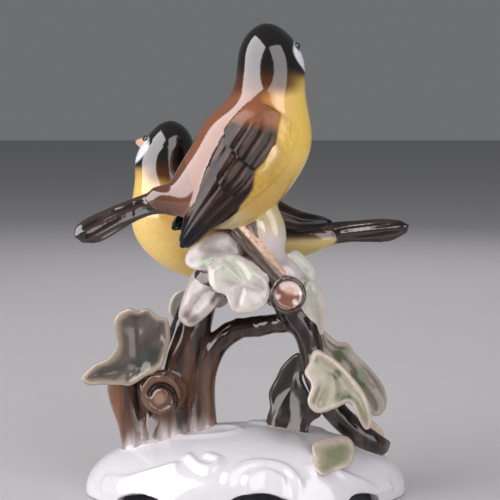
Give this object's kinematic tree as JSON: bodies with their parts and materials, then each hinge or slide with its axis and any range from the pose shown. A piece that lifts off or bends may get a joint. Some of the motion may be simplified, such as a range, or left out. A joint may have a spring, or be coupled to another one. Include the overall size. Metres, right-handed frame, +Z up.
{
  "type": "porcelain figurine",
  "caption": "Glazed porcelain figurine: a pair of small perching birds on a leafy branch arch over a hollow scalloped oval base.",
  "frame": {"origin": "on the table, in the middle of the figurine's footprint", "axes": "+Z up, +X to the right when looking at the show side, the show side faces -Y"},
  "size_m": [0.112, 0.0728, 0.1601],
  "materials": {
    "white_porcelain": "clear gloss glaze over hand-painted colour",
    "bark": "clear gloss glaze over hand-painted colour",
    "dark_branch": "clear gloss glaze over hand-painted colour",
    "cut_wood": "clear gloss glaze over hand-painted colour",
    "white_limb": "clear gloss glaze over hand-painted colour",
    "leaf_glaze": "clear gloss glaze over hand-painted colour",
    "bird_glaze": "clear gloss glaze over hand-painted colour",
    "wing_glaze": "clear gloss glaze over hand-painted colour",
    "tail_glaze": "clear gloss glaze over hand-painted colour",
    "beak_glaze": "clear gloss glaze over hand-painted colour"
  },
  "bodies": {
    "root": {"base_shell": "white_porcelain", "trunk": "bark", "left_stub": "bark", "trunk_knot": "bark", "arch_branch": "bark", "crown_bridge": "bark", "rear_limb": "bark", "fall_branch": "dark_branch", "perch_twig": "dark_branch", "cut_stub": "cut_wood", "perch_crown": "white_limb", "upper_leg_right": "white_limb", "upper_leg_left": "white_limb", "lower_legs": "white_limb", "leaf_left": "leaf_glaze", "leaf_drooping": "leaf_glaze", "leaf_centre": "leaf_glaze", "leaf_under_wing": "leaf_glaze", "leaf_right_top": "leaf_glaze", "leaf_right_mid": "leaf_glaze", "leaf_right_front": "leaf_glaze", "leaf_right_rear": "leaf_glaze", "leaf_arch_inner": "leaf_glaze", "leaf_branch_tip": "leaf_glaze", "base_leaf": "leaf_glaze", "leaf_rear": "leaf_glaze", "upper_body": "bird_glaze", "lower_body": "bird_glaze", "upper_wing_right": "wing_glaze", "upper_wing_left": "wing_glaze", "lower_wing_left": "wing_glaze", "lower_wing_right": "wing_glaze", "upper_tail": "tail_glaze", "lower_tail": "tail_glaze", "upper_beak": "beak_glaze", "lower_beak": "beak_glaze"}
  },
  "joints": []
}
